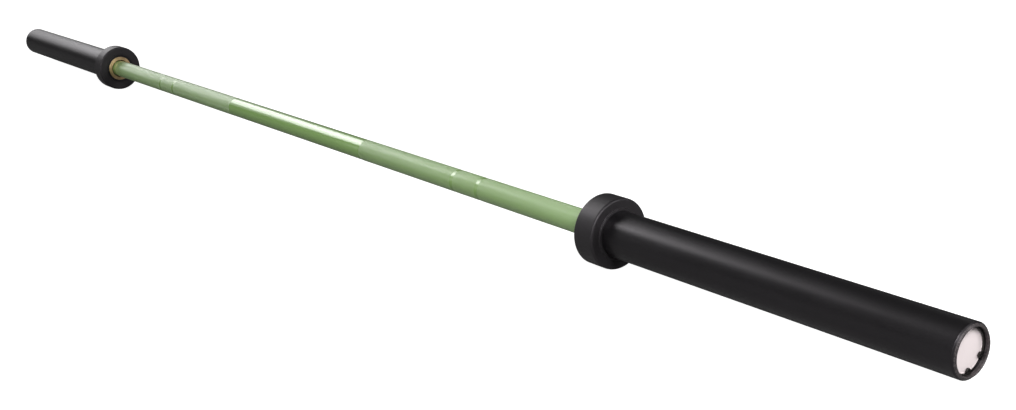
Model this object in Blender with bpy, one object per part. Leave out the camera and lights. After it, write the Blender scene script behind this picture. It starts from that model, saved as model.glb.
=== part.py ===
"""A men's olympic barbell: a green steel shaft that carries a freely turning black sleeve on each end.

The bar lies along X with its middle at the origin and +Z up. Sizes are in metres. The two sleeves are alike, so
each sub-part of a sleeve is modelled once, outwards from the collar's inner face, and stands on both ends.

Each sleeve turns on two bronze bushings. The shaft's shoulder and a thrust washer hold it at the inner end. A
second washer and a retaining ring on the shaft hold it at the outer end. A cup-shaped cap, a pale disc and a
retaining ring close the sleeve's mouth, and that ring's two lugs can be seen from outside.
"""

import math

import bmesh
import bpy
from mathutils import Matrix, Vector

# Clearances
PRESS_GAP = 0.0003  # between two pieces that are pressed together, all round
SEAT_GAP = 0.0003  # between two faces that rest on each other
RUNNING_GAP = 0.0003  # between the shaft and what turns on it, all round

# Shaft
GRIP_LENGTH = 1.310  # between the inner faces of the two collars
SHAFT_DIAMETER = 0.028  # over the knurling
SMOOTH_DROP = 0.00015  # how far the smooth bands lie below the knurling's crests
SMOOTH_CENTRE_LENGTH = 0.380
SMOOTH_END_LENGTH = 0.010  # the smooth band beside each collar
OUTER_MARKS_APART = 0.900  # between the two outer ring marks
MARK_SPACING = 0.050  # from an outer ring mark to the inner one beside it
MARK_WIDTH = 0.0045
MARK_DEPTH = 0.0006
SHOULDER_DEPTH = 0.0027  # how far the full diameter reaches past the collar's inner face
SHOULDER_HEIGHT = 0.002  # step down from the full diameter to the journal
JOURNAL_CHAMFER = 0.0015

# Sleeve
LOADING_LENGTH = 0.415  # from the collar's outer face to the sleeve's end
END_WALL = 0.004  # the sleeve's wall round a bushing
RELIEF_GAP = 0.0018  # between the journal and the sleeve's bore between the bushings
END_CHAMFER = 0.0026  # on the sleeve's outer edge
MOUTH_CHAMFER = 0.0004

# Collar
COLLAR_WIDTH = 0.030
COLLAR_HEIGHT = 0.0135  # how far the collar stands over the sleeve
COLLAR_EASE = 0.0022  # rounding of its two outer edges
BOSS_HEIGHT = 0.0030  # how far the raised ring on its outer face stands over the sleeve
BOSS_RISE = 0.0014
BOSS_EASE = 0.0007
INNER_EDGE_CHAMFER = 0.0006  # where the collar meets the sleeve on the inner face

# Bushings
BUSHING_LENGTH = 0.045
BUSHING_WALL = 0.0084
BUSHING_CHAMFER = 0.0005

# Washers
INNER_WASHER_THICKNESS = 0.0015
OUTER_WASHER_THICKNESS = 0.0020
OUTER_WASHER_WIDTH = 0.0042

# Retaining ring on the shaft
SHAFT_RING_THICKNESS = 0.0012
SHAFT_RING_GROOVE = 0.0009  # depth of its groove
SHAFT_RING_LAND = 0.0034  # from its groove to the journal's end
SHAFT_RING_THIN = 0.0016
SHAFT_RING_THICK = 0.0030
SHAFT_RING_LUG_REACH = 0.0040
SHAFT_RING_LUG_RADIUS = 0.0019
SHAFT_RING_LUG_ANGLE = math.radians(22)  # from the middle of the gap to a lug
SHAFT_RING_HOLE = 0.0009  # radius of a plier hole

# End cap, disc and the retaining ring in the sleeve's mouth
JOURNAL_END_GAP = 0.0022  # between the journal's end and the cap
CAP_WALL = 0.0020
CAP_FLOOR = 0.0030
CAP_EASE = 0.0005
DISC_THICKNESS = 0.0012
END_RING_THICKNESS = 0.00175
END_RING_GROOVE = 0.0013
END_RING_LAND = 0.0036  # from its groove to the sleeve's end
END_RING_THIN = 0.0020
END_RING_THICK = 0.0036
END_RING_LUG_REACH = 0.0060
END_RING_LUG_RADIUS = 0.0027
END_RING_LUG_ANGLE = math.radians(29)
END_RING_HOLE = 0.00125
END_RING_GAP_DIRECTION = math.radians(-52)  # from +Y, on the end at +X

# Facets
SLEEVE_SIDES = 48
SHAFT_SIDES = 40
BUSHING_SIDES = 36
RING_STEPS = 36  # round each long edge of a retaining ring
LUG_STEPS = 7
HOLE_SIDES = 10
EASE_STEPS = 3
SMOOTH_ANGLE = math.radians(32)
MOST_CUT = 0.48  # the largest share of an edge that rounding one of its corners may take
MERGE_DISTANCE = 1e-6
DRILL_LENGTH = 0.006
AXIS_MARK_SIZE = 0.05  # how large an empty on the axis is drawn

# Radii, outwards from the shaft
SHAFT_RADIUS = SHAFT_DIAMETER / 2
SMOOTH_RADIUS = SHAFT_RADIUS - SMOOTH_DROP
JOURNAL_RADIUS = SHAFT_RADIUS - SHOULDER_HEIGHT
BUSHING_BORE = JOURNAL_RADIUS + RUNNING_GAP
BUSHING_FRONT_BORE = SHAFT_RADIUS + RUNNING_GAP
BUSHING_RADIUS = BUSHING_BORE + BUSHING_WALL
SLEEVE_BORE = BUSHING_RADIUS + PRESS_GAP
SLEEVE_RADIUS = SLEEVE_BORE + END_WALL
COLLAR_BORE = SLEEVE_RADIUS + PRESS_GAP
COLLAR_RADIUS = SLEEVE_RADIUS + COLLAR_HEIGHT
CAP_RADIUS = SLEEVE_BORE - PRESS_GAP

# Places along a sleeve, measured outwards from the collar's inner face
SLEEVE_LENGTH = COLLAR_WIDTH + LOADING_LENGTH
INNER_WASHER_START = SHOULDER_DEPTH + SEAT_GAP
FRONT_BORE_DEPTH = INNER_WASHER_START + INNER_WASHER_THICKNESS + SEAT_GAP
INNER_SEAT = BUSHING_LENGTH + SEAT_GAP
END_RING_GROOVE_END = SLEEVE_LENGTH - END_RING_LAND
END_RING_START = END_RING_GROOVE_END - SEAT_GAP - END_RING_THICKNESS
DISC_START = END_RING_START - SEAT_GAP - DISC_THICKNESS
CAP_END = DISC_START - SEAT_GAP
JOURNAL_END = CAP_END - CAP_FLOOR - JOURNAL_END_GAP
SHAFT_RING_GROOVE_END = JOURNAL_END - SHAFT_RING_LAND
SHAFT_RING_START = SHAFT_RING_GROOVE_END - SEAT_GAP - SHAFT_RING_THICKNESS
OUTER_WASHER_START = SHAFT_RING_START - SEAT_GAP - OUTER_WASHER_THICKNESS
OUTER_BUSHING_END = OUTER_WASHER_START - SEAT_GAP
OUTER_BUSHING_START = OUTER_BUSHING_END - BUSHING_LENGTH
OUTER_SEAT = OUTER_BUSHING_START - SEAT_GAP
CAP_START = OUTER_BUSHING_END + SEAT_GAP


def clear_scene():
    """Remove every object, mesh and material that the file holds."""
    for item in list(bpy.data.objects):
        bpy.data.objects.remove(item, do_unlink=True)
    for mesh in list(bpy.data.meshes):
        bpy.data.meshes.remove(mesh)
    for paint in list(bpy.data.materials):
        bpy.data.materials.remove(paint)


def finish(name, colour, roughness, metallic):
    """A plain Principled material."""
    paint = bpy.data.materials.new(name)
    paint.use_nodes = True
    shader = paint.node_tree.nodes["Principled BSDF"]
    shader.inputs["Base Color"].default_value = (*colour, 1.0)
    shader.inputs["Roughness"].default_value = roughness
    shader.inputs["Metallic"].default_value = metallic
    paint.diffuse_color = (*colour, 1.0)
    return paint


def eased(corners, closed):
    """The points of a turned half-section, as pairs of place along the bar and radius.

    A corner with a third value is cut back by about that much: into a chamfer, or into an arc where it has a
    fourth value, the number of steps. The cut never takes more than its share of the two edges that it joins.
    """
    points = []
    count = len(corners)
    for index, corner in enumerate(corners):
        here = Vector(corner[:2])
        at_end = not closed and index in (0, count - 1)
        if len(corner) == 2 or at_end:
            points.append(here)
            continue
        back = Vector(corners[index - 1][:2]) - here
        ahead = Vector(corners[(index + 1) % count][:2]) - here
        cut = min(corner[2], MOST_CUT * back.length, MOST_CUT * ahead.length)
        steps = corner[3] if len(corner) > 3 else 1
        start = here + cut * back.normalized()
        end = here + cut * ahead.normalized()
        # The circle that touches both edges at the two ends of the cut has its centre on the corner's bisector.
        bisector = (start + end - 2 * here).normalized()
        centre = here + bisector * (cut / math.cos(back.angle(ahead) / 2))
        turn = (start - centre).angle_signed(end - centre)
        for step in range(steps + 1):
            points.append(centre + Matrix.Rotation(-turn * step / steps, 2) @ (start - centre))
    return points


def smooth(mesh):
    """Shade the mesh smooth and keep its real corners sharp."""
    mesh.shade_smooth()
    mesh.set_sharp_from_angle(angle=SMOOTH_ANGLE)


def turned(name, corners, sides, closed=True):
    """Spin a half-section about the bar's axis.

    A closed section gives a ring. An open one starts and ends on the axis and gives a solid bar. A flat facet
    comes out at the top and at the bottom.
    """
    shape = bmesh.new()
    section = [shape.verts.new((along, 0.0, radius)) for along, radius in eased(corners, closed)]
    followers = section[1:] + section[:1] if closed else section[1:]
    edges = [shape.edges.new(pair) for pair in zip(section, followers)]
    bmesh.ops.spin(shape, geom=section + edges, axis=(1, 0, 0), angle=math.tau, steps=sides, use_merge=True)
    bmesh.ops.remove_doubles(shape, verts=shape.verts, dist=MERGE_DISTANCE)
    bmesh.ops.rotate(shape, verts=shape.verts, matrix=Matrix.Rotation(math.pi / sides, 3, "X"))
    bmesh.ops.recalc_face_normals(shape, faces=shape.faces)
    mesh = bpy.data.meshes.new(name)
    shape.to_mesh(mesh)
    shape.free()
    smooth(mesh)
    return mesh


def polar(radius, angle):
    """A point in the plane across the bar, at an angle from +Y towards +Z."""
    return Vector((radius * math.cos(angle), radius * math.sin(angle)))


def lug_end(centre, angle, side, radius):
    """The round end of a lug: half a circle about its plier hole, from its side towards rising angle over its tip."""
    across = polar(1.0, angle + math.pi / 2)
    out = side * polar(1.0, angle)
    turns = [math.pi * step / LUG_STEPS for step in range(LUG_STEPS + 1)]
    return [centre + radius * (math.cos(turn) * across + math.sin(turn) * out) for turn in turns]


def ring_outline(seat, side, thin, thick, reach, lug_radius, lug_angle):
    """The outline of a retaining ring whose gap points along +Y, and the centres of its two plier holes.

    The edge in the groove is a true circle of the seat radius. The free edge lies inside it where side is -1
    and outside it where side is 1. The width between them swells from thin beside the lugs to thick opposite
    the gap, with half of one minus the cosine of the angle from the gap.
    """

    def free_radius(angle):
        return seat + side * (thin + (thick - thin) * (1 - math.cos(angle)) / 2)

    hole_radius = seat + side * (reach - lug_radius)
    first_seat = lug_angle - math.asin(lug_radius / seat)
    first_free = lug_angle + math.asin(lug_radius / free_radius(lug_angle))
    seat_span = (math.tau - 2 * first_seat) / RING_STEPS
    free_span = (math.tau - 2 * first_free) / RING_STEPS
    seat_edge = [polar(seat, first_seat + step * seat_span) for step in range(RING_STEPS + 1)]
    free_angles = [math.tau - first_free - step * free_span for step in range(RING_STEPS + 1)]
    free_edge = [polar(free_radius(angle), angle) for angle in free_angles]
    near_hole = polar(hole_radius, lug_angle)
    far_hole = polar(hole_radius, -lug_angle)
    far_lug = lug_end(far_hole, -lug_angle, side, lug_radius)
    near_lug = lug_end(near_hole, lug_angle, side, lug_radius)
    return seat_edge + far_lug + free_edge + near_lug, (near_hole, far_hole)


def retaining_ring(name, start, thickness, direction, outline, holes, hole_radius):
    """A flat ring cut to its outline, and the two drills that make its plier holes, both as meshes."""
    turn = Matrix.Rotation(direction, 2)
    shape = bmesh.new()
    corners = [turn @ point for point in outline]
    face = shape.faces.new([shape.verts.new((start, point.x, point.y)) for point in corners])
    pushed = bmesh.ops.extrude_face_region(shape, geom=[face])["geom"]
    moved = [item for item in pushed if isinstance(item, bmesh.types.BMVert)]
    bmesh.ops.translate(shape, verts=moved, vec=(thickness, 0.0, 0.0))
    bmesh.ops.recalc_face_normals(shape, faces=shape.faces)
    ring = bpy.data.meshes.new(name)
    shape.to_mesh(ring)
    shape.free()
    smooth(ring)

    drill = bmesh.new()
    for hole in holes:
        place = turn @ hole
        middle = Matrix.Translation((start + thickness / 2, place.x, place.y))
        bmesh.ops.create_cone(
            drill,
            cap_ends=True,
            segments=HOLE_SIDES,
            radius1=hole_radius,
            radius2=hole_radius,
            depth=DRILL_LENGTH,
            matrix=middle @ Matrix.Rotation(math.pi / 2, 4, "Y"),
        )
    drills = bpy.data.meshes.new(name + "_drills")
    drill.to_mesh(drills)
    drill.free()
    return ring, drills


def stand(name, mesh, carrier, paint):
    """Put a mesh in the scene on an empty that lies on the bar's axis."""
    item = bpy.data.objects.new(name, mesh)
    bpy.context.scene.collection.objects.link(item)
    item.parent = carrier
    if not mesh.materials:
        mesh.materials.append(paint)
    return item


def bored(item, drills, carrier):
    """Cut an object with a hidden cutter that stands on the same empty."""
    cutter = bpy.data.objects.new(item.name + "_drills", drills)
    bpy.context.scene.collection.objects.link(cutter)
    cutter.parent = carrier
    cutter.hide_render = True
    cutter.display_type = "WIRE"
    cut = item.modifiers.new("plier_holes", "BOOLEAN")
    cut.operation = "DIFFERENCE"
    cut.solver = "EXACT"
    cut.object = cutter


def axis_empty(name, along, turn, parent=None):
    """An empty on the bar's axis, turned about Z."""
    empty = bpy.data.objects.new(name, None)
    bpy.context.scene.collection.objects.link(empty)
    empty.location = (along, 0.0, 0.0)
    empty.rotation_euler = (0.0, 0.0, turn)
    empty.empty_display_size = AXIS_MARK_SIZE
    empty.parent = parent
    return empty


def shaft_half():
    """One half of the shaft's half-section, from the middle of the grip to the end of the journal."""
    collar_face = GRIP_LENGTH / 2
    centre_end = SMOOTH_CENTRE_LENGTH / 2
    outer_mark = OUTER_MARKS_APART / 2
    corners = [(centre_end, SMOOTH_RADIUS), (centre_end + SMOOTH_DROP, SHAFT_RADIUS)]
    for mark in (outer_mark - MARK_SPACING, outer_mark):
        low, high = mark - MARK_WIDTH / 2, mark + MARK_WIDTH / 2
        corners += [
            (low, SHAFT_RADIUS),
            (low + MARK_DEPTH, SHAFT_RADIUS - MARK_DEPTH),
            (high - MARK_DEPTH, SHAFT_RADIUS - MARK_DEPTH),
            (high, SHAFT_RADIUS),
        ]
    knurl_end = collar_face - SMOOTH_END_LENGTH
    shoulder = collar_face + SHOULDER_DEPTH
    groove_end = collar_face + SHAFT_RING_GROOVE_END
    groove_start = collar_face + SHAFT_RING_START - SEAT_GAP
    journal_end = collar_face + JOURNAL_END
    corners += [
        (knurl_end, SHAFT_RADIUS),
        (knurl_end + SMOOTH_DROP, SMOOTH_RADIUS),
        (shoulder, SMOOTH_RADIUS),
        (shoulder, JOURNAL_RADIUS),
        (groove_start, JOURNAL_RADIUS),
        (groove_start, JOURNAL_RADIUS - SHAFT_RING_GROOVE),
        (groove_end, JOURNAL_RADIUS - SHAFT_RING_GROOVE),
        (groove_end, JOURNAL_RADIUS),
        (journal_end, JOURNAL_RADIUS, JOURNAL_CHAMFER),
        (journal_end, 0.0),
    ]
    return corners


def shaft_mesh():
    """The whole shaft, turned from both halves."""
    half = shaft_half()
    mirrored = [(-corner[0], *corner[1:]) for corner in reversed(half)]
    return turned("shaft", mirrored + half, SHAFT_SIDES, closed=False)


def sleeve_mesh():
    """The tube that holds the plates, with a seat for a bushing at each end and a groove in its mouth."""
    mouth_start = END_RING_START - SEAT_GAP
    relief = JOURNAL_RADIUS + RELIEF_GAP
    corners = [
        (0.0, SLEEVE_BORE, MOUTH_CHAMFER),
        (0.0, SLEEVE_RADIUS),
        (SLEEVE_LENGTH, SLEEVE_RADIUS, END_CHAMFER),
        (SLEEVE_LENGTH, SLEEVE_BORE, MOUTH_CHAMFER),
        (END_RING_GROOVE_END, SLEEVE_BORE),
        (END_RING_GROOVE_END, SLEEVE_BORE + END_RING_GROOVE),
        (mouth_start, SLEEVE_BORE + END_RING_GROOVE),
        (mouth_start, SLEEVE_BORE),
        (OUTER_SEAT, SLEEVE_BORE),
        (OUTER_SEAT, relief),
        (INNER_SEAT, relief),
        (INNER_SEAT, SLEEVE_BORE),
    ]
    return turned("sleeve", corners, SLEEVE_SIDES)


def collar_mesh():
    """The stop ring, with rounded edges and a raised boss round the sleeve on its outer face."""
    face = COLLAR_WIDTH - BOSS_RISE
    boss = SLEEVE_RADIUS + BOSS_HEIGHT
    corners = [
        (0.0, COLLAR_BORE, INNER_EDGE_CHAMFER),
        (0.0, COLLAR_RADIUS, COLLAR_EASE, EASE_STEPS),
        (face, COLLAR_RADIUS, COLLAR_EASE, EASE_STEPS),
        (face, boss),
        (COLLAR_WIDTH, boss, BOSS_EASE),
        (COLLAR_WIDTH, COLLAR_BORE),
    ]
    return turned("collar", corners, SLEEVE_SIDES)


def inner_bushing_mesh():
    """The bronze bushing at the collar, flush with its inner face, with a wider bore in front for the shaft."""
    corners = [
        (0.0, BUSHING_FRONT_BORE, BUSHING_CHAMFER),
        (0.0, BUSHING_RADIUS, BUSHING_CHAMFER),
        (BUSHING_LENGTH, BUSHING_RADIUS, BUSHING_CHAMFER),
        (BUSHING_LENGTH, BUSHING_BORE),
        (FRONT_BORE_DEPTH, BUSHING_BORE),
        (FRONT_BORE_DEPTH, BUSHING_FRONT_BORE),
    ]
    return turned("inner_bushing", corners, BUSHING_SIDES)


def outer_bushing_mesh():
    """The plain bronze bushing near the sleeve's mouth."""
    corners = [
        (OUTER_BUSHING_START, BUSHING_BORE),
        (OUTER_BUSHING_START, BUSHING_RADIUS, BUSHING_CHAMFER),
        (OUTER_BUSHING_END, BUSHING_RADIUS, BUSHING_CHAMFER),
        (OUTER_BUSHING_END, BUSHING_BORE),
    ]
    return turned("outer_bushing", corners, BUSHING_SIDES)


def washer_mesh(name, start, thickness, bore, radius):
    """A flat washer."""
    corners = [(start, bore), (start, radius), (start + thickness, radius), (start + thickness, bore)]
    return turned(name, corners, BUSHING_SIDES)


def end_cap_mesh():
    """A cup that stands on the outer bushing, round the end of the shaft, and closes the sleeve."""
    corners = [
        (CAP_START, CAP_RADIUS - CAP_WALL),
        (CAP_START, CAP_RADIUS),
        (CAP_END, CAP_RADIUS, CAP_EASE),
        (CAP_END, 0.0),
    ]
    inside = [(CAP_END - CAP_FLOOR, 0.0), (CAP_END - CAP_FLOOR, CAP_RADIUS - CAP_WALL, CAP_EASE)]
    return turned("end_cap", inside + corners, BUSHING_SIDES, closed=False)


def end_disc_mesh():
    """The pale disc in front of the cap."""
    corners = [
        (DISC_START, 0.0),
        (DISC_START, CAP_RADIUS),
        (DISC_START + DISC_THICKNESS, CAP_RADIUS),
        (DISC_START + DISC_THICKNESS, 0.0),
    ]
    return turned("end_disc", corners, BUSHING_SIDES, closed=False)


def shaft_ring_meshes():
    """The external retaining ring in the groove at the end of the journal."""
    seat = JOURNAL_RADIUS - SHAFT_RING_GROOVE + PRESS_GAP
    outline, holes = ring_outline(
        seat,
        1,
        SHAFT_RING_THIN,
        SHAFT_RING_THICK,
        SHAFT_RING_LUG_REACH,
        SHAFT_RING_LUG_RADIUS,
        SHAFT_RING_LUG_ANGLE,
    )
    name = "shaft_ring"
    return retaining_ring(name, SHAFT_RING_START, SHAFT_RING_THICKNESS, 0.0, outline, holes, SHAFT_RING_HOLE)


def end_ring_meshes():
    """The internal retaining ring in the groove of the sleeve's mouth."""
    seat = SLEEVE_BORE + END_RING_GROOVE - PRESS_GAP
    outline, holes = ring_outline(
        seat,
        -1,
        END_RING_THIN,
        END_RING_THICK,
        END_RING_LUG_REACH,
        END_RING_LUG_RADIUS,
        END_RING_LUG_ANGLE,
    )
    return retaining_ring(
        "end_ring",
        END_RING_START,
        END_RING_THICKNESS,
        END_RING_GAP_DIRECTION,
        outline,
        holes,
        END_RING_HOLE,
    )


def build():
    """Model the shaft, then both sleeves from the same meshes."""
    clear_scene()
    shaft_paint = finish("shaft_green", (0.27, 0.42, 0.19), 0.42, 0.0)
    sleeve_paint = finish("sleeve_black", (0.022, 0.022, 0.024), 0.38, 0.2)
    collar_paint = finish("collar_black", (0.024, 0.023, 0.024), 0.42, 0.2)
    bronze = finish("bushing_bronze", (0.55, 0.36, 0.17), 0.35, 1.0)
    plain_steel = finish("washer_steel", (0.45, 0.45, 0.46), 0.35, 1.0)
    spring_steel = finish("ring_steel", (0.03, 0.03, 0.03), 0.4, 0.8)
    cap_paint = finish("cap_black", (0.02, 0.02, 0.02), 0.5, 0.0)
    disc_paint = finish("disc_pale", (0.83, 0.78, 0.78), 0.45, 0.0)

    inner_washer_radius = BUSHING_FRONT_BORE - PRESS_GAP
    outer_washer_radius = BUSHING_BORE + OUTER_WASHER_WIDTH
    on_sleeve = {
        "sleeve": (sleeve_mesh(), sleeve_paint),
        "collar": (collar_mesh(), collar_paint),
        "inner_bushing": (inner_bushing_mesh(), bronze),
        "outer_bushing": (outer_bushing_mesh(), bronze),
        "end_cap": (end_cap_mesh(), cap_paint),
        "end_disc": (end_disc_mesh(), disc_paint),
    }
    on_shaft = {
        "inner_washer": washer_mesh(
            "inner_washer", INNER_WASHER_START, INNER_WASHER_THICKNESS, BUSHING_BORE, inner_washer_radius
        ),
        "outer_washer": washer_mesh(
            "outer_washer", OUTER_WASHER_START, OUTER_WASHER_THICKNESS, BUSHING_BORE, outer_washer_radius
        ),
    }
    shaft_ring, shaft_ring_drills = shaft_ring_meshes()
    end_ring, end_ring_drills = end_ring_meshes()

    bar_axis = axis_empty("bar_axis", 0.0, 0.0)
    stand("shaft", shaft_mesh(), bar_axis, shaft_paint)
    for side, sign, turn in (("right", 1, 0.0), ("left", -1, math.pi)):
        along = sign * GRIP_LENGTH / 2
        shaft_end = axis_empty(side + "_shaft_end", along, turn, bar_axis)
        sleeve_axis = axis_empty(side + "_sleeve_axis", along, turn)
        for name, (mesh, paint) in on_sleeve.items():
            stand(f"{side}_{name}", mesh, sleeve_axis, paint)
        for name, mesh in on_shaft.items():
            stand(f"{side}_{name}", mesh, shaft_end, plain_steel)
        ring = stand(side + "_shaft_ring", shaft_ring, shaft_end, spring_steel)
        bored(ring, shaft_ring_drills, shaft_end)
        ring = stand(side + "_end_ring", end_ring, sleeve_axis, spring_steel)
        bored(ring, end_ring_drills, sleeve_axis)


build()
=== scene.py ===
"""The finished look of an olympic barbell: a green knurled shaft between two freely turning black sleeves.

The bar lies along X with its middle at the origin and +Z up, and sizes are in metres. Each shape is a grid
of points: a half-section turned round the bar's axis, a band of it with a knurl cut in, or a flat outline
carried through its thickness. Parts of a sleeve are worked out once, outwards from the collar's inner face,
and stand on both ends of the bar.
"""

import math

import bmesh
import bpy
import numpy as np
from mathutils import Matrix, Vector


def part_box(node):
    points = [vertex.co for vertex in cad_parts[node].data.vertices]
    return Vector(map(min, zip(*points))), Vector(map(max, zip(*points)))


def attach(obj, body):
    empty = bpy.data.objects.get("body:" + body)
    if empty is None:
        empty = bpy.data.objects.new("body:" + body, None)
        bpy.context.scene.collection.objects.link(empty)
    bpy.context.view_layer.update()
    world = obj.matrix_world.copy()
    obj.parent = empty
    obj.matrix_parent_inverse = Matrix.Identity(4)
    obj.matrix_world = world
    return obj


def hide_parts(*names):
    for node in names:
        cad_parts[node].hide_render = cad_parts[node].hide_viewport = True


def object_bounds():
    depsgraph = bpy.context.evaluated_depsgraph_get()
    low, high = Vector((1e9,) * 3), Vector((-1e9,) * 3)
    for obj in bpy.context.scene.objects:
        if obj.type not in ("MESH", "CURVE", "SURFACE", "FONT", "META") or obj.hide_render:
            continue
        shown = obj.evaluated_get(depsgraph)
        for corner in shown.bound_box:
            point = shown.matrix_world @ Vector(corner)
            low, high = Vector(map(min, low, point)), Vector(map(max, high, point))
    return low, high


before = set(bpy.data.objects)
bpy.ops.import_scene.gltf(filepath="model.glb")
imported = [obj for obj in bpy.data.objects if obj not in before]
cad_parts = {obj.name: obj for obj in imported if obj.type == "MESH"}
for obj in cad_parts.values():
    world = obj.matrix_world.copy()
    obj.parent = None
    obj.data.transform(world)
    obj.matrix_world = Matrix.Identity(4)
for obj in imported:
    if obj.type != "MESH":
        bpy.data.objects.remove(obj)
cad_low, cad_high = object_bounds()

# The image and the camera
IMAGE_WIDTH = 1016
FOCAL_PIXELS = 1377.9
SENSOR_WIDTH = 36.0  # millimetres, as the lens is
CAMERA_PLACE = (1.7096, -0.9514, 0.3904)
CAMERA_YAW = math.radians(-56.21)  # from +Y towards +X
CAMERA_PITCH = math.radians(14.56)  # below the horizon
CROP_SHIFT = 100.0  # pixels by which the lens's axis lies left of the image's middle
NEAR_CLIP = 0.01

# Stage and light
FLOOR_SIZE = 120.0
FLOOR_ROUGHNESS = 0.9
FLOOR_PALE = (0.55, 0.55, 0.55)  # the floor's colour where the camera sees it
FLOOR_GLOW = 0.92  # light that it adds there
FLOOR_DULL = (0.28, 0.28, 0.28)  # its colour for all other light
WORLD_PALE = (0.97, 0.97, 0.97)  # the room where the camera sees it
WORLD_GREY = (0.05, 0.05, 0.05)  # the room for all other light
LAMP_DISTANCE = 14.0  # of the far lamps

# Shaft
SHAFT_RADIUS = 0.014  # over the knurl's crests
SMOOTH_RADIUS = 0.01385
CORE_RADIUS = 0.01355  # under the knurl
JOURNAL_RADIUS = 0.012
MARK_RADIUS = 0.0138  # on a ring mark's smooth floor
SMOOTH_CENTRE = 0.190  # from the middle to where the knurl starts
MARK_PLACES = (0.400, 0.450)
MARK_HALF_WIDTH = 0.0032
SMOOTH_END = 0.010  # the smooth band beside a collar
SHOULDER_DEPTH = 0.0027
SMOOTH_EASE = 0.0001
SHOULDER_EASE = 0.0002
JOURNAL_EASE = 0.0015

# Knurl
KNURL_STARTS = 64  # grooves of each hand round the shaft
KNURL_HELIX = math.radians(30)  # between a groove and the bar's axis
KNURL_DEPTH = 0.00016
KNURL_CREST = 0.50  # where a diamond's flat top begins, from 0 in the groove to 1 at its middle
KNURL_CROWN = 0.1  # how much of the height that flat top still gains towards the middle
KNURL_CORNERS = 4  # grid steps in one pitch
KNURL_LINER = 0.01358  # inner radius of a knurled band

# Sleeve
SLEEVE_RADIUS = 0.025
SLEEVE_BORE = 0.021
RELIEF_BORE = 0.0138
SEAT_LENGTH = 0.0453  # of a bushing's seat
END_CHAMFER = 0.0026
CHAMFER_EASE = 0.0004
MOUTH_EASE = 0.0005
BACK_EASE = 0.0002
RING_GROOVE = 0.0013
GROOVE_SLACK = 0.0003

# Collar
COLLAR_BORE = 0.02505
COLLAR_EASE = 0.0024
INNER_EASE = 0.0005
OUTER_EASE = 0.0003
BOSS_RADIUS = 0.028
BOSS_RISE = 0.0014
BOSS_EASE = 0.0005
BOSS_FILLET = 0.0005

# Bushing
BUSHING_RADIUS = 0.02092
BUSHING_BORE = 0.0123
BUSHING_FRONT_BORE = 0.0143
FRONT_BORE_DEPTH = 0.0048
BUSHING_EASE = 0.0005
BORE_SHADE_RADIUS = 0.0160

# Disc in the mouth
DISC_RADIUS = 0.02085
DISC_RIM = 0.0011  # width of its raised rim
DISC_DISH = 0.00025  # how far its face lies behind the rim
DISC_EASE = 0.0002

# Retaining ring in the mouth
RING_SEAT = 0.0220
RING_THIN = 0.0020
RING_THICK = 0.0036
LUG_REACH = 0.0060
LUG_RADIUS = 0.0027
LUG_ANGLE = math.radians(29)
PLIER_HOLE = 0.00125
RING_EASE = 0.00022
DRILL_OVERRUN = 0.001  # how far a plier hole's drill reaches past the ring
DRILL_EASE = 0.0001
GAP_DIRECTION = math.radians(-52)  # on the right end, from +Y towards +Z

# Finishes
MICRON = 1e-6
SLEEVE_BLACK = (0.0040, 0.0037, 0.0042)
COLLAR_BLACK = (0.0130, 0.0120, 0.0130)
KNURL_FADE = 0.0002  # over which the knurl's finish gives way to that of smooth steel
MARK_FINISH = 0.55  # how far a ring mark looks like the knurl rather than the glossy middle
MARK_FADE = 0.0001
WEAR_FADE = 0.0006  # over which the end's grey begins, and how far its edge wanders
MOUTH_PAINTED_LIGHT = 0.45  # how far the mouth's wall is lightened as painted light, where 1 is as much as the end face's wear
MOUTH_FADE = 0.0004
BORE_SHADE_SPREAD = 0.0016  # how far the edge of the painted shade round the shaft wanders
BORE_SHADE_FADE = 0.0006
CIRCLE_DRIFT = 7.0  # how fast marks in circles move on in the noise's third direction

# Fineness
SLEEVE_SIDES = 192
SHAFT_SIDES = 128
EASE_STEPS = 6  # on each rounded edge
HOLD = 0.25  # a support point lies this share of an ease outside its arc
RING_STEPS = 160
LUG_STEPS = 20
HOLE_SIDES = 40
SHARP_ANGLE = math.radians(35)
MERGE_DISTANCE = 1e-7

shaft_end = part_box("shaft")[1].x
collar_start, collar_end = (corner.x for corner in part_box("right_collar"))
sleeve_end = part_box("right_sleeve")[1].x
bushing_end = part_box("right_inner_bushing")[1].x
disc_start, disc_end = (corner.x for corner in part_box("right_end_disc"))
ring_start, ring_end = (corner.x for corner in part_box("right_end_ring"))
outer_bushing_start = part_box("right_outer_bushing")[0].x
collar_radius = cad_high.z  # the widest that the bar may be
knurl_end = collar_start - SMOOTH_END


def outwards(along):
    """A place on the right-hand end as a distance from the collar's inner face."""
    return along - collar_start


def eased(corners, closed):
    """A half-section as (along, radius) points.

    A corner with a third number is replaced by an arc of a circle that touches both of its edges at that
    distance from it. A point on each edge just outside the arc keeps the flats flat when they are shaded.
    """
    points = []
    count = len(corners)
    for index, corner in enumerate(corners):
        here = np.array(corner[:2])
        if len(corner) == 2 or (not closed and index in (0, count - 1)):
            points.append(here[None])
            continue
        ease = corner[2]
        back = np.array(corners[index - 1][:2]) - here
        ahead = np.array(corners[(index + 1) % count][:2]) - here
        back /= np.linalg.norm(back)
        ahead /= np.linalg.norm(ahead)
        centre = here + (back + ahead) * ease / (1 + back @ ahead)
        first = here + ease * back - centre
        last = here + ease * ahead - centre
        turn = math.acos(first @ last / (first @ first))
        share = np.linspace(0, 1, EASE_STEPS + 1)[:, None]
        arc = centre + (np.sin((1 - share) * turn) * first + np.sin(share * turn) * last) / math.sin(turn)
        lead = here + ease * (1 + HOLD) * back
        tail = here + ease * (1 + HOLD) * ahead
        points += [lead[None], arc, tail[None]]
    return np.concatenate(points)


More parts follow.
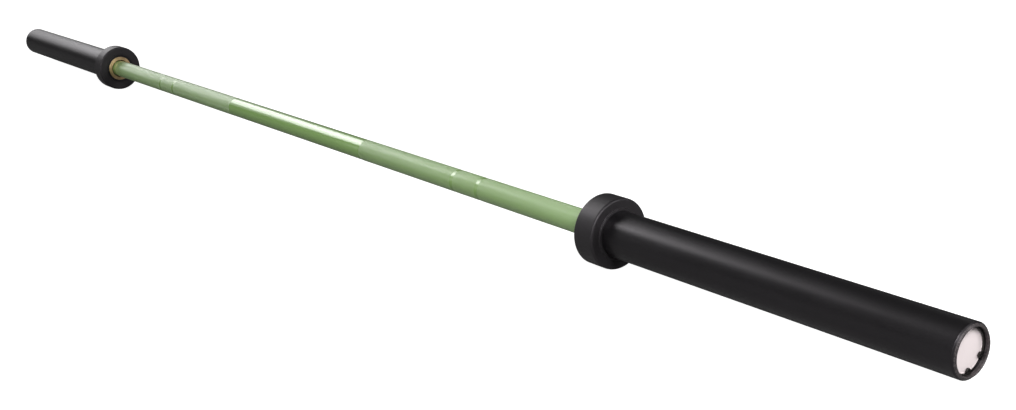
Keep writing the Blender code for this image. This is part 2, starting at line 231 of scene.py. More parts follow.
def turned(section, sides):
    """A grid of a half-section turned round the bar's axis.

    Across the bar, a point is its radius times the cosine and sine of its angle from +Y towards +Z.
    """
    along, radius = section[:, :1], section[:, 1:]
    angle = np.arange(sides) * math.tau / sides
    level = np.broadcast_to(along, (len(section), sides))
    return np.stack([level, radius * np.cos(angle), radius * np.sin(angle)], -1)


def knurled(start, end):
    """A closed band of diamond knurl, and how high each of its points stands, from 0 in a groove to 1.

    Two sets of helical grooves cross. Each set's phase is the angle in turns times the starts, plus or
    minus the place along the bar in pitches. The height is twice the smaller of the two distances from a
    whole phase, over the crest share, until it meets a flat top with a slight crown.
    """
    pitch_round = math.tau * SHAFT_RADIUS / KNURL_STARTS
    pitch_along = pitch_round / math.tan(KNURL_HELIX)
    rows = round((end - start) / pitch_along * KNURL_CORNERS)
    columns = KNURL_STARTS * KNURL_CORNERS
    row = np.arange(rows + 1)[:, None]
    column = np.arange(columns)[None]
    right_hand = (column + row) / KNURL_CORNERS
    left_hand = (column - row) / KNURL_CORNERS
    nearest = np.minimum(abs(right_hand - np.round(right_hand)), abs(left_hand - np.round(left_hand)))
    raw = 2 * nearest
    height = np.minimum(raw / KNURL_CREST, 1 - KNURL_CROWN + KNURL_CROWN * raw)
    radius = SHAFT_RADIUS - KNURL_DEPTH * (1 - height)
    along = np.linspace(start, end, rows + 1)
    liner = np.full((1, columns), KNURL_LINER)
    radius = np.concatenate([liner, radius, liner])
    along = np.concatenate([[start], along, [end]])[:, None]
    angle = column * math.tau / columns
    level = np.broadcast_to(along, radius.shape)
    points = np.stack([level, radius * np.cos(angle), radius * np.sin(angle)], -1)
    base = np.zeros((1, columns))
    return points, np.concatenate([base, height, base])


def on_end(points, sign):
    """Points measured outwards from a collar's inner face, on one end of the bar.

    The left end, whose sign is -1, is the right one turned half round about the vertical.
    """
    return (points + (collar_start, 0, 0)) * (sign, sign, 1)


def grid_faces(rows, columns, closed, height=None):
    """The rows and columns of every face's corners, wound so that faces point out.

    Where heights are given, each cell is cut in two along the diagonal whose ends are level and low.
    """
    cells = rows if closed else rows - 1
    row, column = (index.reshape(-1, 1) for index in np.indices((cells, columns)))
    row = row + (0, 0, 1, 1)
    column = column + (0, 1, 1, 0)
    if height is None:
        return row, column
    corner = height[row % rows, column % columns]
    one_way = 2 * abs(corner[:, 0] - corner[:, 2]) + corner[:, 0] + corner[:, 2]
    other_way = 2 * abs(corner[:, 1] - corner[:, 3]) + corner[:, 1] + corner[:, 3]
    halves = np.array([[[0, 1, 2], [0, 2, 3]], [[0, 1, 3], [1, 2, 3]]])
    pick = halves[(other_way < one_way).astype(int)]
    row = np.take_along_axis(row[:, None], pick, 2).reshape(-1, 3)
    column = np.take_along_axis(column[:, None], pick, 2).reshape(-1, 3)
    return row, column


def surface(name, points, closed=True, height=None):
    """A mesh object from a grid that wraps round its columns, and round its rows too if it is closed.

    Its map unrolls the grid: across by column, and up by the mean length of the rows so far.
    """
    rows, columns = points.shape[:2]
    row, column = grid_faces(rows, columns, closed, height)
    corners = ((row % rows) * columns + column % columns).astype(np.int32)
    mesh = bpy.data.meshes.new(name)
    mesh.vertices.add(rows * columns)
    mesh.vertices.foreach_set("co", points.astype(np.float32).ravel())
    mesh.loops.add(corners.size)
    mesh.loops.foreach_set("vertex_index", corners.ravel())
    mesh.polygons.add(len(corners))
    mesh.polygons.foreach_set("loop_start", np.arange(len(corners), dtype=np.int32) * corners.shape[1])
    steps = np.linalg.norm(np.diff(points, axis=0, append=points[:1]), axis=-1).mean(1)
    climb = np.concatenate([[0.0], np.cumsum(steps if closed else steps[:-1])])
    unrolled = mesh.uv_layers.new(name="OFBake")
    place = np.stack([column / columns, climb[row] / climb[-1]], -1)
    unrolled.uv.foreach_set("vector", place.astype(np.float32).ravel())
    mesh.update(calc_edges=True)
    if not closed:
        close_poles(mesh)
    if height is None:
        mesh.shade_smooth()
        mesh.set_sharp_from_angle(angle=SHARP_ANGLE)
    else:
        mesh.shade_flat()
    item = bpy.data.objects.new(name, mesh)
    bpy.context.scene.collection.objects.link(item)
    return item


def close_poles(mesh):
    """Merge the points that lie together on the axis."""
    shape = bmesh.new()
    shape.from_mesh(mesh)
    bmesh.ops.remove_doubles(shape, verts=shape.verts, dist=MERGE_DISTANCE)
    shape.to_mesh(mesh)
    shape.free()


def fit(item, paint, body, slot, *nodes):
    """Paint a piece, let it ride on its body and stand for its nodes."""
    item.data.materials.append(paint)
    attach(item, body)
    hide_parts(*nodes)


# Shader arithmetic


class Value:
    """A shader socket that takes part in arithmetic. Each operator adds a Math node."""

    def __init__(self, nodes, socket):
        self.nodes = nodes
        self.socket = socket

    def math(self, operation, *terms):
        return self.nodes.node("ShaderNodeMath", {"operation": operation}, dict(enumerate(terms)))

    def __abs__(self):
        return self.math("ABSOLUTE", self)

    def __add__(self, other):
        return self.math("ADD", self, other)

    def __radd__(self, other):
        return self.math("ADD", other, self)

    def __sub__(self, other):
        return self.math("SUBTRACT", self, other)

    def __rsub__(self, other):
        return self.math("SUBTRACT", other, self)

    def __mul__(self, other):
        return self.math("MULTIPLY", self, other)

    def __rmul__(self, other):
        return self.math("MULTIPLY", other, self)

    def __pow__(self, other):
        return self.math("POWER", self, other)

    def __rpow__(self, other):
        return self.math("POWER", other, self)


class Nodes:
    """A node tree. Each new node comes from one method."""

    def __init__(self, tree):
        self.tree = tree

    def node(self, kind, settings, values, output=0):
        """Any node: its settings first, then its sockets by name or place. It gives the named output."""
        made = self.tree.nodes.new(kind)
        for setting, value in settings.items():
            setattr(made, setting, value)
        for socket, value in values.items():
            self.connect(value, made.inputs[socket])
        return Value(self, made.outputs[output])

    def connect(self, value, socket):
        """Link a Value to a socket, or set anything else on it."""
        if isinstance(value, Value):
            self.tree.links.new(value.socket, socket)
        else:
            socket.default_value = value

    def choose_by_camera(self, otherwise, seen, output):
        """Give the output one shader for the camera's own rays and another for all the rest."""
        camera_ray = self.node("ShaderNodeLightPath", {}, {}, "Is Camera Ray")
        mix = self.node("ShaderNodeMixShader", {}, {0: camera_ray, 1: otherwise, 2: seen})
        self.connect(mix, self.tree.nodes[output].inputs["Surface"])


class Paint(Nodes):
    """A Principled material that is being mixed. Constants are set on the shader's own sockets."""

    def __init__(self, name, **constants):
        self.material = bpy.data.materials.new(name)
        self.material.use_nodes = True
        super().__init__(self.material.node_tree)
        self.shader = self.tree.nodes["Principled BSDF"]
        for socket, value in constants.items():
            self.shader.inputs[socket.replace("_", " ")].default_value = value
        self.place = self.node("ShaderNodeTexCoord", {}, {}, "Object")
        parts = [self.node("ShaderNodeSeparateXYZ", {}, {0: self.place}, axis) for axis in "XYZ"]
        self.along, across, up = parts
        self.radius = (across * across + up * up) ** 0.5

    def feed(self, socket, value):
        """Connect a value to one of the Principled shader's sockets."""
        self.connect(value, self.shader.inputs[socket])

    def noise(self, scale, detail=3.0, roughness=0.5):
        """Noise between 0 and 1 on object coordinates, with its own scale for each axis."""
        place = self.node("ShaderNodeVectorMath", {"operation": "MULTIPLY"}, {0: self.place, 1: scale})
        return self.noise_at(place, detail, roughness)

    def circles(self, scale):
        """Noise that changes with the distance from the axis and along it, but not round it."""
        values = {0: self.radius * scale, 1: self.along * scale, 2: self.radius * CIRCLE_DRIFT}
        return self.noise_at(self.node("ShaderNodeCombineXYZ", {}, values), 3.0, 0.6)

    def noise_at(self, place, detail, roughness):
        """Noise between 0 and 1 at a place that is scaled already."""
        values = {"Vector": place, "Scale": 1.0, "Detail": detail, "Roughness": roughness}
        return self.node("ShaderNodeTexNoise", {}, values)

    def band(self, value, low, high):
        """0 below low, 1 above high, and smooth between."""
        settings = {"interpolation_type": "SMOOTHSTEP"}
        return self.node("ShaderNodeMapRange", settings, {"Value": value, 1: low, 2: high})

    def blend(self, share, first, second):
        """The mix of two colours, each a tuple or a Value."""
        values = {0: share, 6: as_colour(first), 7: as_colour(second)}
        return self.node("ShaderNodeMix", {"data_type": "RGBA"}, values, 2)

    def bump(self, height, distance):
        """A Bump node on a height between 0 and 1 that is distance metres high."""
        return self.node("ShaderNodeBump", {}, {"Height": height, "Distance": distance})


def as_colour(value):
    """A Value as it is, or three numbers with an alpha of 1."""
    return value if isinstance(value, Value) else (*value, 1.0)


# Finishes


def shaft_green():
    """Thin ceramic coat: satin on the knurl, darker in its grooves with dust and painted shade, and glossy
    on the smooth steel.
    """
    light_green = (0.236, 0.394, 0.125)
    dark_green = (0.216, 0.366, 0.114)
    speck_green = (0.34, 0.48, 0.23)
    groove_dust_and_shade_green = (0.160, 0.330, 0.03)
    paint = Paint("shaft_green", Coat_Roughness=0.42, Coat_IOR=2.2)
    cloud = paint.noise((9, 30, 30), detail=4.0)
    grain = paint.noise((900, 900, 900), detail=2.0)
    turning = paint.noise((2600, 18, 18), detail=2.0)
    groove = 1 - paint.band(paint.radius, SHAFT_RADIUS - KNURL_DEPTH, SHAFT_RADIUS - 0.25 * KNURL_DEPTH)
    over_knurl = knurl_share(paint)
    green = paint.blend(cloud, dark_green, light_green)
    green = paint.blend(0.12 * grain, green, speck_green)
    # dust and painted shade: the knurl's grooves are darkened, and the ring marks a little
    green = paint.blend(0.6 * groove * over_knurl, green, groove_dust_and_shade_green)
    paint.feed("Base Color", green)
    paint.feed("Roughness", 0.12 + 0.16 * over_knurl + 0.04 * turning)
    paint.feed("Coat Weight", over_knurl)
    paint.feed("Normal", paint.bump(0.6 * turning + 0.4 * grain, 6 * MICRON))
    return paint.material


def knurl_share(paint):
    """1 on the knurled bands of the shaft, 0 on its smooth ones and MARK_FINISH on the ring marks."""
    distance = abs(paint.along)
    share = paint.band(distance, SMOOTH_CENTRE - KNURL_FADE, SMOOTH_CENTRE)
    for mark in MARK_PLACES:
        beside_mark = paint.band(abs(distance - mark), MARK_HALF_WIDTH - MARK_FADE, MARK_HALF_WIDTH)
        share = share * (MARK_FINISH + (1 - MARK_FINISH) * beside_mark)
    return share * (1 - paint.band(distance, knurl_end, knurl_end + KNURL_FADE))


def satin_black(name, colour, roughness, scuffs, worn_and_lit_end=False):
    """A satin black coat with faint turning marks round the bar and scuffs along it.

    A sleeve's is worn to a mottled grey at its end, and its mouth's wall is partly lightened to that grey
    as painted light.
    """
    paint = Paint(name, Specular_Tint=(1.0, 0.93, 1.0, 1.0))
    cloud = paint.noise((14, 40, 40), detail=5.0)
    scuff = paint.band(paint.noise((12, 900, 900), roughness=0.6), 0.56, 0.80)
    turning = paint.noise((1900, 12, 12), roughness=0.6)
    grain = paint.noise((1400, 1400, 1400), detail=1.0)
    dull = tuple(0.75 * part for part in colour)
    scuffed = tuple(2.1 * part + 0.004 for part in colour)
    black = paint.blend(cloud, dull, colour)
    black = paint.blend(scuffs * scuff, black, scuffed)
    rough = roughness + 0.10 * (cloud - 0.5) + 0.05 * turning - 0.06 * scuff
    if worn_and_lit_end:
        dark_wear_and_lit_grey = (0.017, 0.0150, 0.0150)
        pale_wear_and_lit_grey = (0.077, 0.067, 0.067)
        mottle = paint.noise((700, 700, 700), roughness=0.6)
        # the end's wear, together with painted light on the mouth's wall
        wear_and_painted_light = end_wear_and_lit_mouth(paint, mottle)
        black = paint.blend(wear_and_painted_light, black, paint.blend(paint.band(mottle, 0.35, 0.65), dark_wear_and_lit_grey, pale_wear_and_lit_grey))
        rough = rough + 0.08 * wear_and_painted_light
    paint.feed("Base Color", black)
    paint.feed("Roughness", rough)
    paint.feed("Normal", paint.bump(0.7 * turning + 0.3 * grain, 12 * MICRON))
    return paint.material


def end_wear_and_lit_mouth(paint, mottle):
    """How far a sleeve's end is worn where plates strike it, and how far its mouth's wall is lightened as
    painted light.
    """
    distance = abs(paint.along)
    edge = sleeve_end - END_CHAMFER / 2
    on_edge = paint.band(distance + WEAR_FADE * mottle, edge, edge + WEAR_FADE)
    on_wall = 1 - paint.band(paint.radius, SLEEVE_BORE + MOUTH_FADE / 2, SLEEVE_BORE + 1.5 * MOUTH_FADE)
    # painted light: the mouth's wall, between the ring and the end, is lightened
    painted_mouth_light = on_wall * paint.band(distance, ring_end, ring_end + MOUTH_FADE)
    return 1 - (1 - on_edge) * (1 - MOUTH_PAINTED_LIGHT * painted_mouth_light)


def bushing_bronze():
    """Sintered bearing bronze: turning rings, dark pores, patches of tarnish, and painted shade round the
    shaft.
    """
    tarnished = (0.59, 0.405, 0.20)
    clear = (0.78, 0.55, 0.30)
    bright = (0.86, 0.70, 0.48)
    pore_brown = (0.14, 0.08, 0.03)
    bore_shade_brown = (0.10, 0.065, 0.03)
    paint = Paint("bushing_bronze", Metallic=1.0)
    patches = paint.band(paint.noise((90, 90, 90), detail=4.0, roughness=0.6), 0.35, 0.70)
    pores = paint.band(paint.noise((2600, 2600, 2600), detail=2.0), 0.62, 0.72)
    rings = paint.circles(2200)
    shade_edge_noise = paint.noise((700, 700, 700), detail=2.0)
    # painted shade: the bronze darkens round the shaft where it enters the bushing
    unshaded = paint.band(paint.radius + BORE_SHADE_SPREAD * shade_edge_noise, BORE_SHADE_RADIUS, BORE_SHADE_RADIUS + BORE_SHADE_FADE)
    bronze = paint.blend(patches, tarnished, clear)
    bronze = paint.blend(0.30 * rings, bronze, bright)
    bronze = paint.blend(0.55 * pores, bronze, pore_brown)
    paint.feed("Base Color", paint.blend(unshaded, bore_shade_brown, bronze))
    paint.feed("Roughness", 0.34 + 0.14 * patches + 0.16 * pores)
    paint.feed("Normal", paint.bump(rings - pores, 10 * MICRON))
    return paint.material


def ring_black():
    """Spring steel with a dark phosphate finish that has worn bright in specks."""
    dark_grey = (0.018, 0.017, 0.017)
    warm_grey = (0.060, 0.056, 0.053)
    bright = (0.30, 0.29, 0.28)
    paint = Paint("ring_black", Metallic=0.85)
    mottle = paint.noise((420, 420, 420), detail=4.0, roughness=0.6)
    specks = paint.band(paint.noise((1500, 1500, 1500), detail=2.0), 0.66, 0.78)
    paint.feed("Base Color", paint.blend(0.4 * specks, paint.blend(mottle, dark_grey, warm_grey), bright))
    paint.feed("Roughness", 0.32 + 0.22 * mottle)
    paint.feed("Normal", paint.bump(mottle, 15 * MICRON))
    return paint.material


def ground_steel():
    """Ground steel with marks in circles and a film of oil."""
    oiled = (0.42, 0.41, 0.39)
    dry = (0.58, 0.58, 0.58)
    bright = (0.70, 0.70, 0.70)
    paint = Paint("ground_steel", Metallic=1.0)
    rings = paint.circles(1800)
    film = paint.noise((160, 160, 160))
    paint.feed("Base Color", paint.blend(0.3 * rings, paint.blend(film, oiled, dry), bright))
    paint.feed("Roughness", 0.24 + 0.16 * film)
    paint.feed("Normal", paint.bump(rings, 8 * MICRON))
    return paint.material


def moulded_nylon():
    """Moulded black nylon with a fine spark-eroded grain."""
    black = (0.014, 0.014, 0.015)
    soft_black = (0.024, 0.024, 0.026)
    paint = Paint("moulded_nylon")
    grain = paint.noise((1300, 1300, 1300), detail=2.0)
    cloud = paint.noise((60, 60, 60), detail=2.0)
    paint.feed("Base Color", paint.blend(cloud, black, soft_black))
    paint.feed("Roughness", 0.52 + 0.12 * grain)
    paint.feed("Normal", paint.bump(grain, 30 * MICRON))
    return paint.material


def disc_pale():
    """Off-white enamel with a faint warm cast, a fine orange-peel and patches of grey towards the rim."""
    warm_white = (0.800, 0.712, 0.716)
    clean_white = (0.840, 0.756, 0.757)
    rim_grey = (0.60, 0.54, 0.53)
    paint = Paint("disc_pale", Coat_Weight=0.25, Coat_Roughness=0.18)
    peel = paint.noise((520, 520, 520), detail=2.0)
    cloud = paint.noise((70, 70, 70), detail=4.0, roughness=0.6)
    rim = paint.band(paint.radius, DISC_RADIUS - 2 * DISC_RIM, DISC_RADIUS)
    pale = paint.blend(cloud, warm_white, clean_white)
    # greyer in patches towards the rim
    paint.feed("Base Color", paint.blend(0.35 * rim * cloud, pale, rim_grey))
    paint.feed("Roughness", 0.38 + 0.14 * cloud)
    paint.feed("Normal", paint.bump(peel, 12 * MICRON))
    return paint.material


# Pieces


def shaft_half_section():
    """Half the shaft under its knurl, from the middle to the right end, as corners of a half-section."""
    corners = [(SMOOTH_CENTRE, SMOOTH_RADIUS, SMOOTH_EASE), (SMOOTH_CENTRE, CORE_RADIUS)]
    for mark in MARK_PLACES:
        low, high = mark - MARK_HALF_WIDTH, mark + MARK_HALF_WIDTH
        corners += [(low, CORE_RADIUS), (low, MARK_RADIUS), (high, MARK_RADIUS), (high, CORE_RADIUS)]
    shoulder = collar_start + SHOULDER_DEPTH
    corners += [
        (knurl_end, CORE_RADIUS),
        (knurl_end, SMOOTH_RADIUS, SMOOTH_EASE),
        (shoulder, SMOOTH_RADIUS, SHOULDER_EASE),
        (shoulder, JOURNAL_RADIUS, SHOULDER_EASE),
        (shaft_end, JOURNAL_RADIUS, JOURNAL_EASE),
        (shaft_end, 0.0),
    ]
    return corners


def make_shaft(paint):
    """The shaft's core with its smooth bands and marks, and the six bands of knurl round it."""
    half = shaft_half_section()
    mirrored = [(-corner[0], *corner[1:]) for corner in reversed(half)]
    core = surface("shaft_core", turned(eased(mirrored + half, False), SHAFT_SIDES), closed=False)
    fit(core, paint, "shaft", "shaft_coating", "shaft")
    first, second = MARK_PLACES
    bands = {
        "inner_knurl": (SMOOTH_CENTRE, first - MARK_HALF_WIDTH),
        "mark_knurl": (first + MARK_HALF_WIDTH, second - MARK_HALF_WIDTH),
        "outer_knurl": (second + MARK_HALF_WIDTH, knurl_end),
    }
    for name, (start, end) in bands.items():
        points, height = knurled(start, end)
        for side, sign in (("right", 1), ("left", -1)):
            band = surface(f"{side}_{name}", points * (sign, sign, 1), height=height)
            fit(band, paint, "shaft", "shaft_coating", "shaft")


def sleeve_section():
    """The sleeve: a tube with a bushing's seat at each end, a groove in its mouth and an eased chamfer."""
    length = outwards(sleeve_end)
    groove_end = outwards(ring_end) + GROOVE_SLACK
    groove_start = outwards(ring_start) - GROOVE_SLACK
    outer_seat = outwards(outer_bushing_start) - GROOVE_SLACK
    corners = [
        (0.0, SLEEVE_BORE, MOUTH_EASE),
        (0.0, SLEEVE_RADIUS, BACK_EASE),
        (length - END_CHAMFER, SLEEVE_RADIUS, CHAMFER_EASE),
        (length, SLEEVE_RADIUS - END_CHAMFER, CHAMFER_EASE),
        (length, SLEEVE_BORE, MOUTH_EASE),
        (groove_end, SLEEVE_BORE),
        (groove_end, SLEEVE_BORE + RING_GROOVE),
        (groove_start, SLEEVE_BORE + RING_GROOVE),
        (groove_start, SLEEVE_BORE),
        (outer_seat, SLEEVE_BORE),
        (outer_seat, RELIEF_BORE),
        (SEAT_LENGTH, RELIEF_BORE),
        (SEAT_LENGTH, SLEEVE_BORE),
    ]
    return eased(corners, True)


def collar_section():
    """The stop collar: two rounded edges, and a boss round the sleeve that rises from a small fillet."""
    width = outwards(collar_end)
    face = width - BOSS_RISE
    corners = [
        (0.0, COLLAR_BORE, INNER_EASE),
        (0.0, collar_radius, COLLAR_EASE),
        (face, collar_radius, COLLAR_EASE),
        (face, BOSS_RADIUS, BOSS_FILLET),
        (width, BOSS_RADIUS, BOSS_EASE),
        (width, COLLAR_BORE, OUTER_EASE),
    ]
    return eased(corners, True)


def bushing_section():
    """The bronze bushing, with a wider bore in front that lets the shaft's full diameter in."""
    corners = [
        (0.0, BUSHING_FRONT_BORE, BUSHING_EASE),
        (0.0, BUSHING_RADIUS, BUSHING_EASE),
        (outwards(bushing_end), BUSHING_RADIUS, BUSHING_EASE),
        (outwards(bushing_end), BUSHING_BORE),
        (FRONT_BORE_DEPTH, BUSHING_BORE),
        (FRONT_BORE_DEPTH, BUSHING_FRONT_BORE),
    ]
    return eased(corners, True)


def disc_section():
    """The disc in the mouth: a flat face a little behind a rounded rim."""
    back, front = outwards(disc_start), outwards(disc_end)
    floor = front - DISC_DISH
    corners = [
        (back, 0.0),
        (back, DISC_RADIUS, DISC_EASE),
        (front, DISC_RADIUS, DISC_EASE),
        (front, DISC_RADIUS - DISC_RIM, DISC_EASE),
        (floor, DISC_RADIUS - DISC_RIM - DISC_DISH, DISC_EASE),
        (floor, 0.0),
    ]
    return eased(corners, False)


def polar(radius, angle):
    """Points in the plane across the bar, at angles from +Y towards +Z."""
    return np.stack([radius * np.cos(angle), radius * np.sin(angle)], -1)


def ring_outline():
    """The retaining ring's outline, gap towards +Y, and the middles of its plier holes.

    The outer edge is a circle. The inner edge's distance from it grows with half of one minus the cosine of
    the angle from the gap. Each end is a lug: half a circle about its plier hole.
    """
    hole_radius = RING_SEAT - LUG_REACH + LUG_RADIUS

    def free_radius(angle):
        return RING_SEAT - RING_THIN - (RING_THICK - RING_THIN) * (1 - np.cos(angle)) / 2

    def lug(angle):
        centre = polar(hole_radius, np.array(angle))
        turn = np.linspace(0, math.pi, LUG_STEPS + 1)[:, None]
        across, inward = polar(1.0, np.array(angle + math.pi / 2)), -polar(1.0, np.array(angle))
        return centre + LUG_RADIUS * (np.cos(turn) * across + np.sin(turn) * inward)

    first_seat = LUG_ANGLE - math.asin(LUG_RADIUS / RING_SEAT)
    first_free = LUG_ANGLE + math.asin(LUG_RADIUS / free_radius(LUG_ANGLE))
    seat_edge = polar(RING_SEAT, np.linspace(first_seat, math.tau - first_seat, RING_STEPS + 1))
    angles = np.linspace(math.tau - first_free, first_free, RING_STEPS + 1)
    free_edge = polar(free_radius(angles), angles)
    holes = [polar(hole_radius, np.array(angle)) for angle in (LUG_ANGLE, -LUG_ANGLE)]
    return np.concatenate([seat_edge, lug(-LUG_ANGLE), free_edge, lug(LUG_ANGLE)]), holes


def inset(outline, distance):
    """A closed outline moved inwards, each point along the normal of the chord between its neighbours."""
    chord = np.roll(outline, -1, 0) - np.roll(outline, 1, 0)
    chord /= np.linalg.norm(chord, axis=1, keepdims=True)
    return outline + distance * chord[:, ::-1] * (-1, 1)


def plate(name, outline, start, end, ease):
    """A flat plate with rounded edges.

    Its outline stands at rising places along the bar. Near each end it is inset along a quarter circle. At
    each angle it lies the ease times one minus the sine from the end, and is inset by the ease times one
    minus the cosine.
    """
    turn = np.linspace(0, math.pi / 2, EASE_STEPS // 2 + 1)
    levels = [(start + ease * (1 - math.sin(t)), ease * (1 - math.cos(t))) for t in turn[::-1]]
    levels += [(end - ease * (1 - math.sin(t)), ease * (1 - math.cos(t))) for t in turn]
    loops = []
    for along, depth in levels:
        loop = inset(outline, depth)
        loops.append(np.column_stack([np.full(len(loop), along), loop]))
    item = surface(name, np.stack(loops), closed=False)
    shape = bmesh.new()
    shape.from_mesh(item.data)
    shape.verts.ensure_lookup_table()
    count = len(outline)
    first = [shape.verts[index] for index in range(count)]
    last = [shape.verts[index - count] for index in range(count)]
    shape.faces.new(first[::-1])
    shape.faces.new(last)
    bmesh.ops.recalc_face_normals(shape, faces=shape.faces)
    shape.to_mesh(item.data)
    shape.free()
    return item


def make_ring(side, sign, paint):
    """The retaining ring in a sleeve's mouth, drilled for pliers."""
    outline, holes = ring_outline()
    turn = np.array([
        [math.cos(GAP_DIRECTION), math.sin(GAP_DIRECTION)],
        [-math.sin(GAP_DIRECTION), math.cos(GAP_DIRECTION)],
    ])
    ring = plate(side + "_mouth_ring", outline @ turn, outwards(ring_start), outwards(ring_end), RING_EASE)
    angle = np.arange(HOLE_SIDES) * math.tau / HOLE_SIDES
    for hole in holes:
        circle = hole @ turn + polar(PLIER_HOLE, angle)
        back = outwards(ring_start) - DRILL_OVERRUN
        front = outwards(ring_end) + DRILL_OVERRUN
        drill = plate("drill", circle, back, front, DRILL_EASE)
        cut = ring.modifiers.new("plier_hole", "BOOLEAN")
        cut.operation = "DIFFERENCE"
        cut.object = drill
        bpy.context.view_layer.update()
        seen = ring.evaluated_get(bpy.context.evaluated_depsgraph_get())
        drilled = bpy.data.meshes.new_from_object(seen)
        ring.modifiers.clear()
        ring.data = drilled
        bpy.data.objects.remove(drill)
    points = np.zeros(len(ring.data.vertices) * 3, np.float32)
    ring.data.vertices.foreach_get("co", points)
    ring.data.vertices.foreach_set("co", on_end(points.reshape(-1, 3), sign).astype(np.float32).ravel())
    ring.data.update()
    ring.data.shade_smooth()
    ring.data.set_sharp_from_angle(angle=SHARP_ANGLE)
    fit(ring, paint, side + "_sleeve", "ring_steel", side + "_end_ring")


def make_sleeves(finishes):
    """Both sleeves with what shows on them, and the finish of the inner pieces, which keep their shape."""
    turned_pieces = {
        "sleeve_tube": (sleeve_section(), True, "sleeve_black", "sleeve_coating", "sleeve"),
        "stop_collar": (collar_section(), True, "collar_black", "collar_coating", "collar"),
        "bronze_bushing": (bushing_section(), True, "bushing_bronze", "bronze", "inner_bushing"),
        "pale_disc": (disc_section(), False, "disc_pale", "disc_face", "end_disc"),
    }
    hidden = {
        "outer_bushing": "bushing_bronze",
        "inner_washer": "ground_steel",
        "outer_washer": "ground_steel",
        "shaft_ring": "ring_black",
        "end_cap": "moulded_nylon",
    }
    for side, sign in (("right", 1), ("left", -1)):
        for name, (section, closed, finish, slot, node) in turned_pieces.items():
            points = on_end(turned(section, SLEEVE_SIDES), sign)
            item = surface(f"{side}_{name}", points, closed)
            fit(item, finishes[finish], side + "_sleeve", slot, f"{side}_{node}")
        make_ring(side, sign, finishes["ring_black"])
        for name, finish in hidden.items():
            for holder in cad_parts[f"{side}_{name}"].material_slots:
                holder.material = finishes[finish]


# Stage, light and camera


def make_floor():
    """A plain pale floor that the collars rest on. It looks paler than the light that it throws back."""
    reach = FLOOR_SIZE / 2
    mesh = bpy.data.meshes.new("floor")
    level = cad_low.z
    corners = [
        (-reach, -reach, level),
        (reach, -reach, level),
        (reach, reach, level),
        (-reach, reach, level),
    ]
    mesh.from_pydata(corners, [], [(0, 1, 2, 3)])
    floor = bpy.data.objects.new("floor", mesh)
    bpy.context.scene.collection.objects.link(floor)
    paint = bpy.data.materials.new("floor_pale")
    paint.use_nodes = True
    nodes = Nodes(paint.node_tree)
    shader = nodes.tree.nodes["Principled BSDF"]
    shader.inputs["Base Color"].default_value = (*FLOOR_PALE, 1.0)
    shader.inputs["Roughness"].default_value = FLOOR_ROUGHNESS
    shader.inputs["Specular IOR Level"].default_value = 0.0
    shader.inputs["Emission Color"].default_value = (1.0, 1.0, 1.0, 1.0)
    shader.inputs["Emission Strength"].default_value = FLOOR_GLOW
    dull = nodes.node("ShaderNodeBsdfDiffuse", {}, {"Color": (*FLOOR_DULL, 1.0)})
    nodes.choose_by_camera(dull, Value(nodes, shader.outputs[0]), "Material Output")
    mesh.materials.append(paint)


def make_world():
    """An even grey room, which looks pale where the camera sees it directly."""
    world = bpy.data.worlds.new("studio")
    bpy.context.scene.world = world
    world.use_nodes = True
    nodes = Nodes(world.node_tree)
    room = nodes.tree.nodes["Background"]
    room.inputs["Color"].default_value = (*WORLD_GREY, 1.0)
    seen = nodes.node("ShaderNodeBackground", {}, {"Color": (*WORLD_PALE, 1.0)})
    nodes.choose_by_camera(Value(nodes, room.outputs[0]), seen, "World Output")


def soft_box(name, place, aim, width, depth, radiance):
    """A rectangular lamp of even radiance, where 1 shows as white. The camera doesn't see the lamp."""
    lamp = bpy.data.lights.new(name, "AREA")
    lamp.shape = "RECTANGLE"
    lamp.size = width
    lamp.size_y = depth
    lamp.energy = radiance * math.pi * width * depth
    item = bpy.data.objects.new(name, lamp)
    item.location = place
    item.rotation_euler = (Vector(aim) - Vector(place)).to_track_quat("-Z", "Y").to_euler()
    item.visible_camera = False
    bpy.context.scene.collection.objects.link(item)


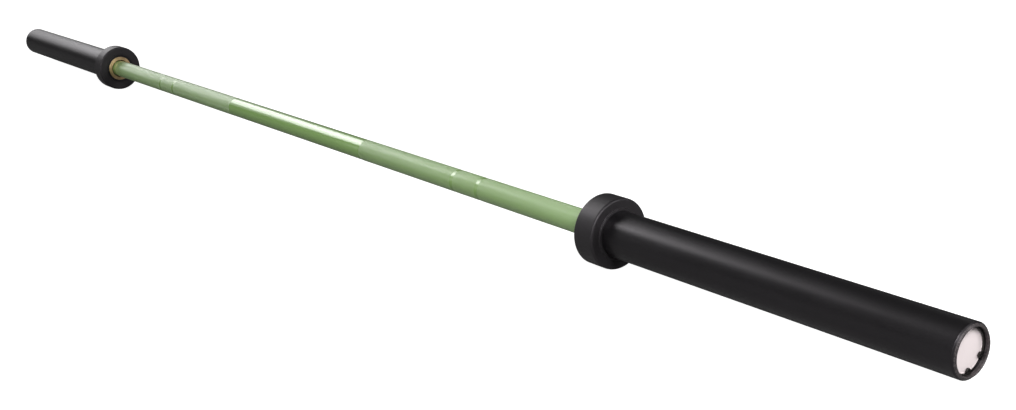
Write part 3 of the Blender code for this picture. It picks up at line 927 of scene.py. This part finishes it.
def make_lights():
    """A band of far lamps beyond the left end, fading towards the horizon, and soft boxes near by."""
    far_lamp("band_high", along=-0.78, angle=108, wide=0.55, tall=0.22, radiance=3.9)
    far_lamp("band_middle", along=-0.86, angle=97, wide=0.70, tall=0.22, radiance=5.2)
    far_lamp("band_low", along=-0.92, angle=83, wide=0.66, tall=0.12, radiance=0.6)
    far_lamp("band_front", along=-0.89, angle=126, wide=0.30, tall=0.30, radiance=1.3)
    far_lamp("band_edge", along=-0.87, angle=50, wide=0.30, tall=0.70, radiance=0.4)
    soft_box("fill", (1.0, -2.9, 1.0), aim=(0.3, 0.0, 0.0), width=1.6, depth=1.2, radiance=4.3)
    soft_box("key", (2.0, -0.8, 1.1), aim=(0.9, 0.0, 0.0), width=0.7, depth=0.5, radiance=28.0)
    soft_box("end_light", (2.8, 1.1, 1.1), aim=(1.1, 0.0, 0.0), width=1.0, depth=0.6, radiance=11.0)
    soft_box("left_light", (-1.5, -0.8, 1.5), aim=(-0.7, 0.0, 0.0), width=1.0, depth=0.8, radiance=0.8)
    soft_box("side_light", (-0.9, -0.95, 0.22), aim=(-0.5, 0.0, 0.0), width=0.5, depth=0.4, radiance=1.9)
    soft_box("back_light", (0.2, 2.0, 1.3), aim=(-0.3, 0.0, 0.0), width=0.8, depth=0.6, radiance=1.0)


def far_lamp(name, along, angle, wide, tall, radiance):
    """A lamp far off, given by the x part of its direction, its angle round the bar from +Y and its size.

    The angle is in degrees, and the size is a share of the distance.
    """
    turn = math.radians(angle)
    across = math.sqrt(1 - along * along)
    place = Vector((along, across * math.cos(turn), across * math.sin(turn))) * LAMP_DISTANCE
    soft_box(name, place, (0.0, 0.0, 0.0), wide * LAMP_DISTANCE, tall * LAMP_DISTANCE, radiance)


def make_camera():
    """The camera that was matched to the photograph, as if that were cut from a wider picture."""
    camera = bpy.data.cameras.new("camera")
    camera.sensor_width = SENSOR_WIDTH
    camera.lens = FOCAL_PIXELS * SENSOR_WIDTH / IMAGE_WIDTH
    camera.shift_x = CROP_SHIFT / IMAGE_WIDTH
    camera.clip_start = NEAR_CLIP
    camera.clip_end = 2 * FLOOR_SIZE
    item = bpy.data.objects.new("camera", camera)
    item.location = CAMERA_PLACE
    level = math.cos(CAMERA_PITCH)
    ahead = Vector((math.sin(CAMERA_YAW) * level, math.cos(CAMERA_YAW) * level, -math.sin(CAMERA_PITCH)))
    item.rotation_euler = ahead.to_track_quat("-Z", "Y").to_euler()
    bpy.context.scene.collection.objects.link(item)
    bpy.context.scene.camera = item


finishes = {
    "sleeve_black": satin_black("sleeve_black", SLEEVE_BLACK, roughness=0.34, scuffs=0.4, worn_and_lit_end=True),
    "collar_black": satin_black("collar_black", COLLAR_BLACK, roughness=0.425, scuffs=0.3),
    "bushing_bronze": bushing_bronze(),
    "ring_black": ring_black(),
    "ground_steel": ground_steel(),
    "moulded_nylon": moulded_nylon(),
    "disc_pale": disc_pale(),
}
make_shaft(shaft_green())
make_sleeves(finishes)
make_floor()
make_world()
make_lights()
make_camera()
bpy.context.scene.view_settings.view_transform = "Standard"
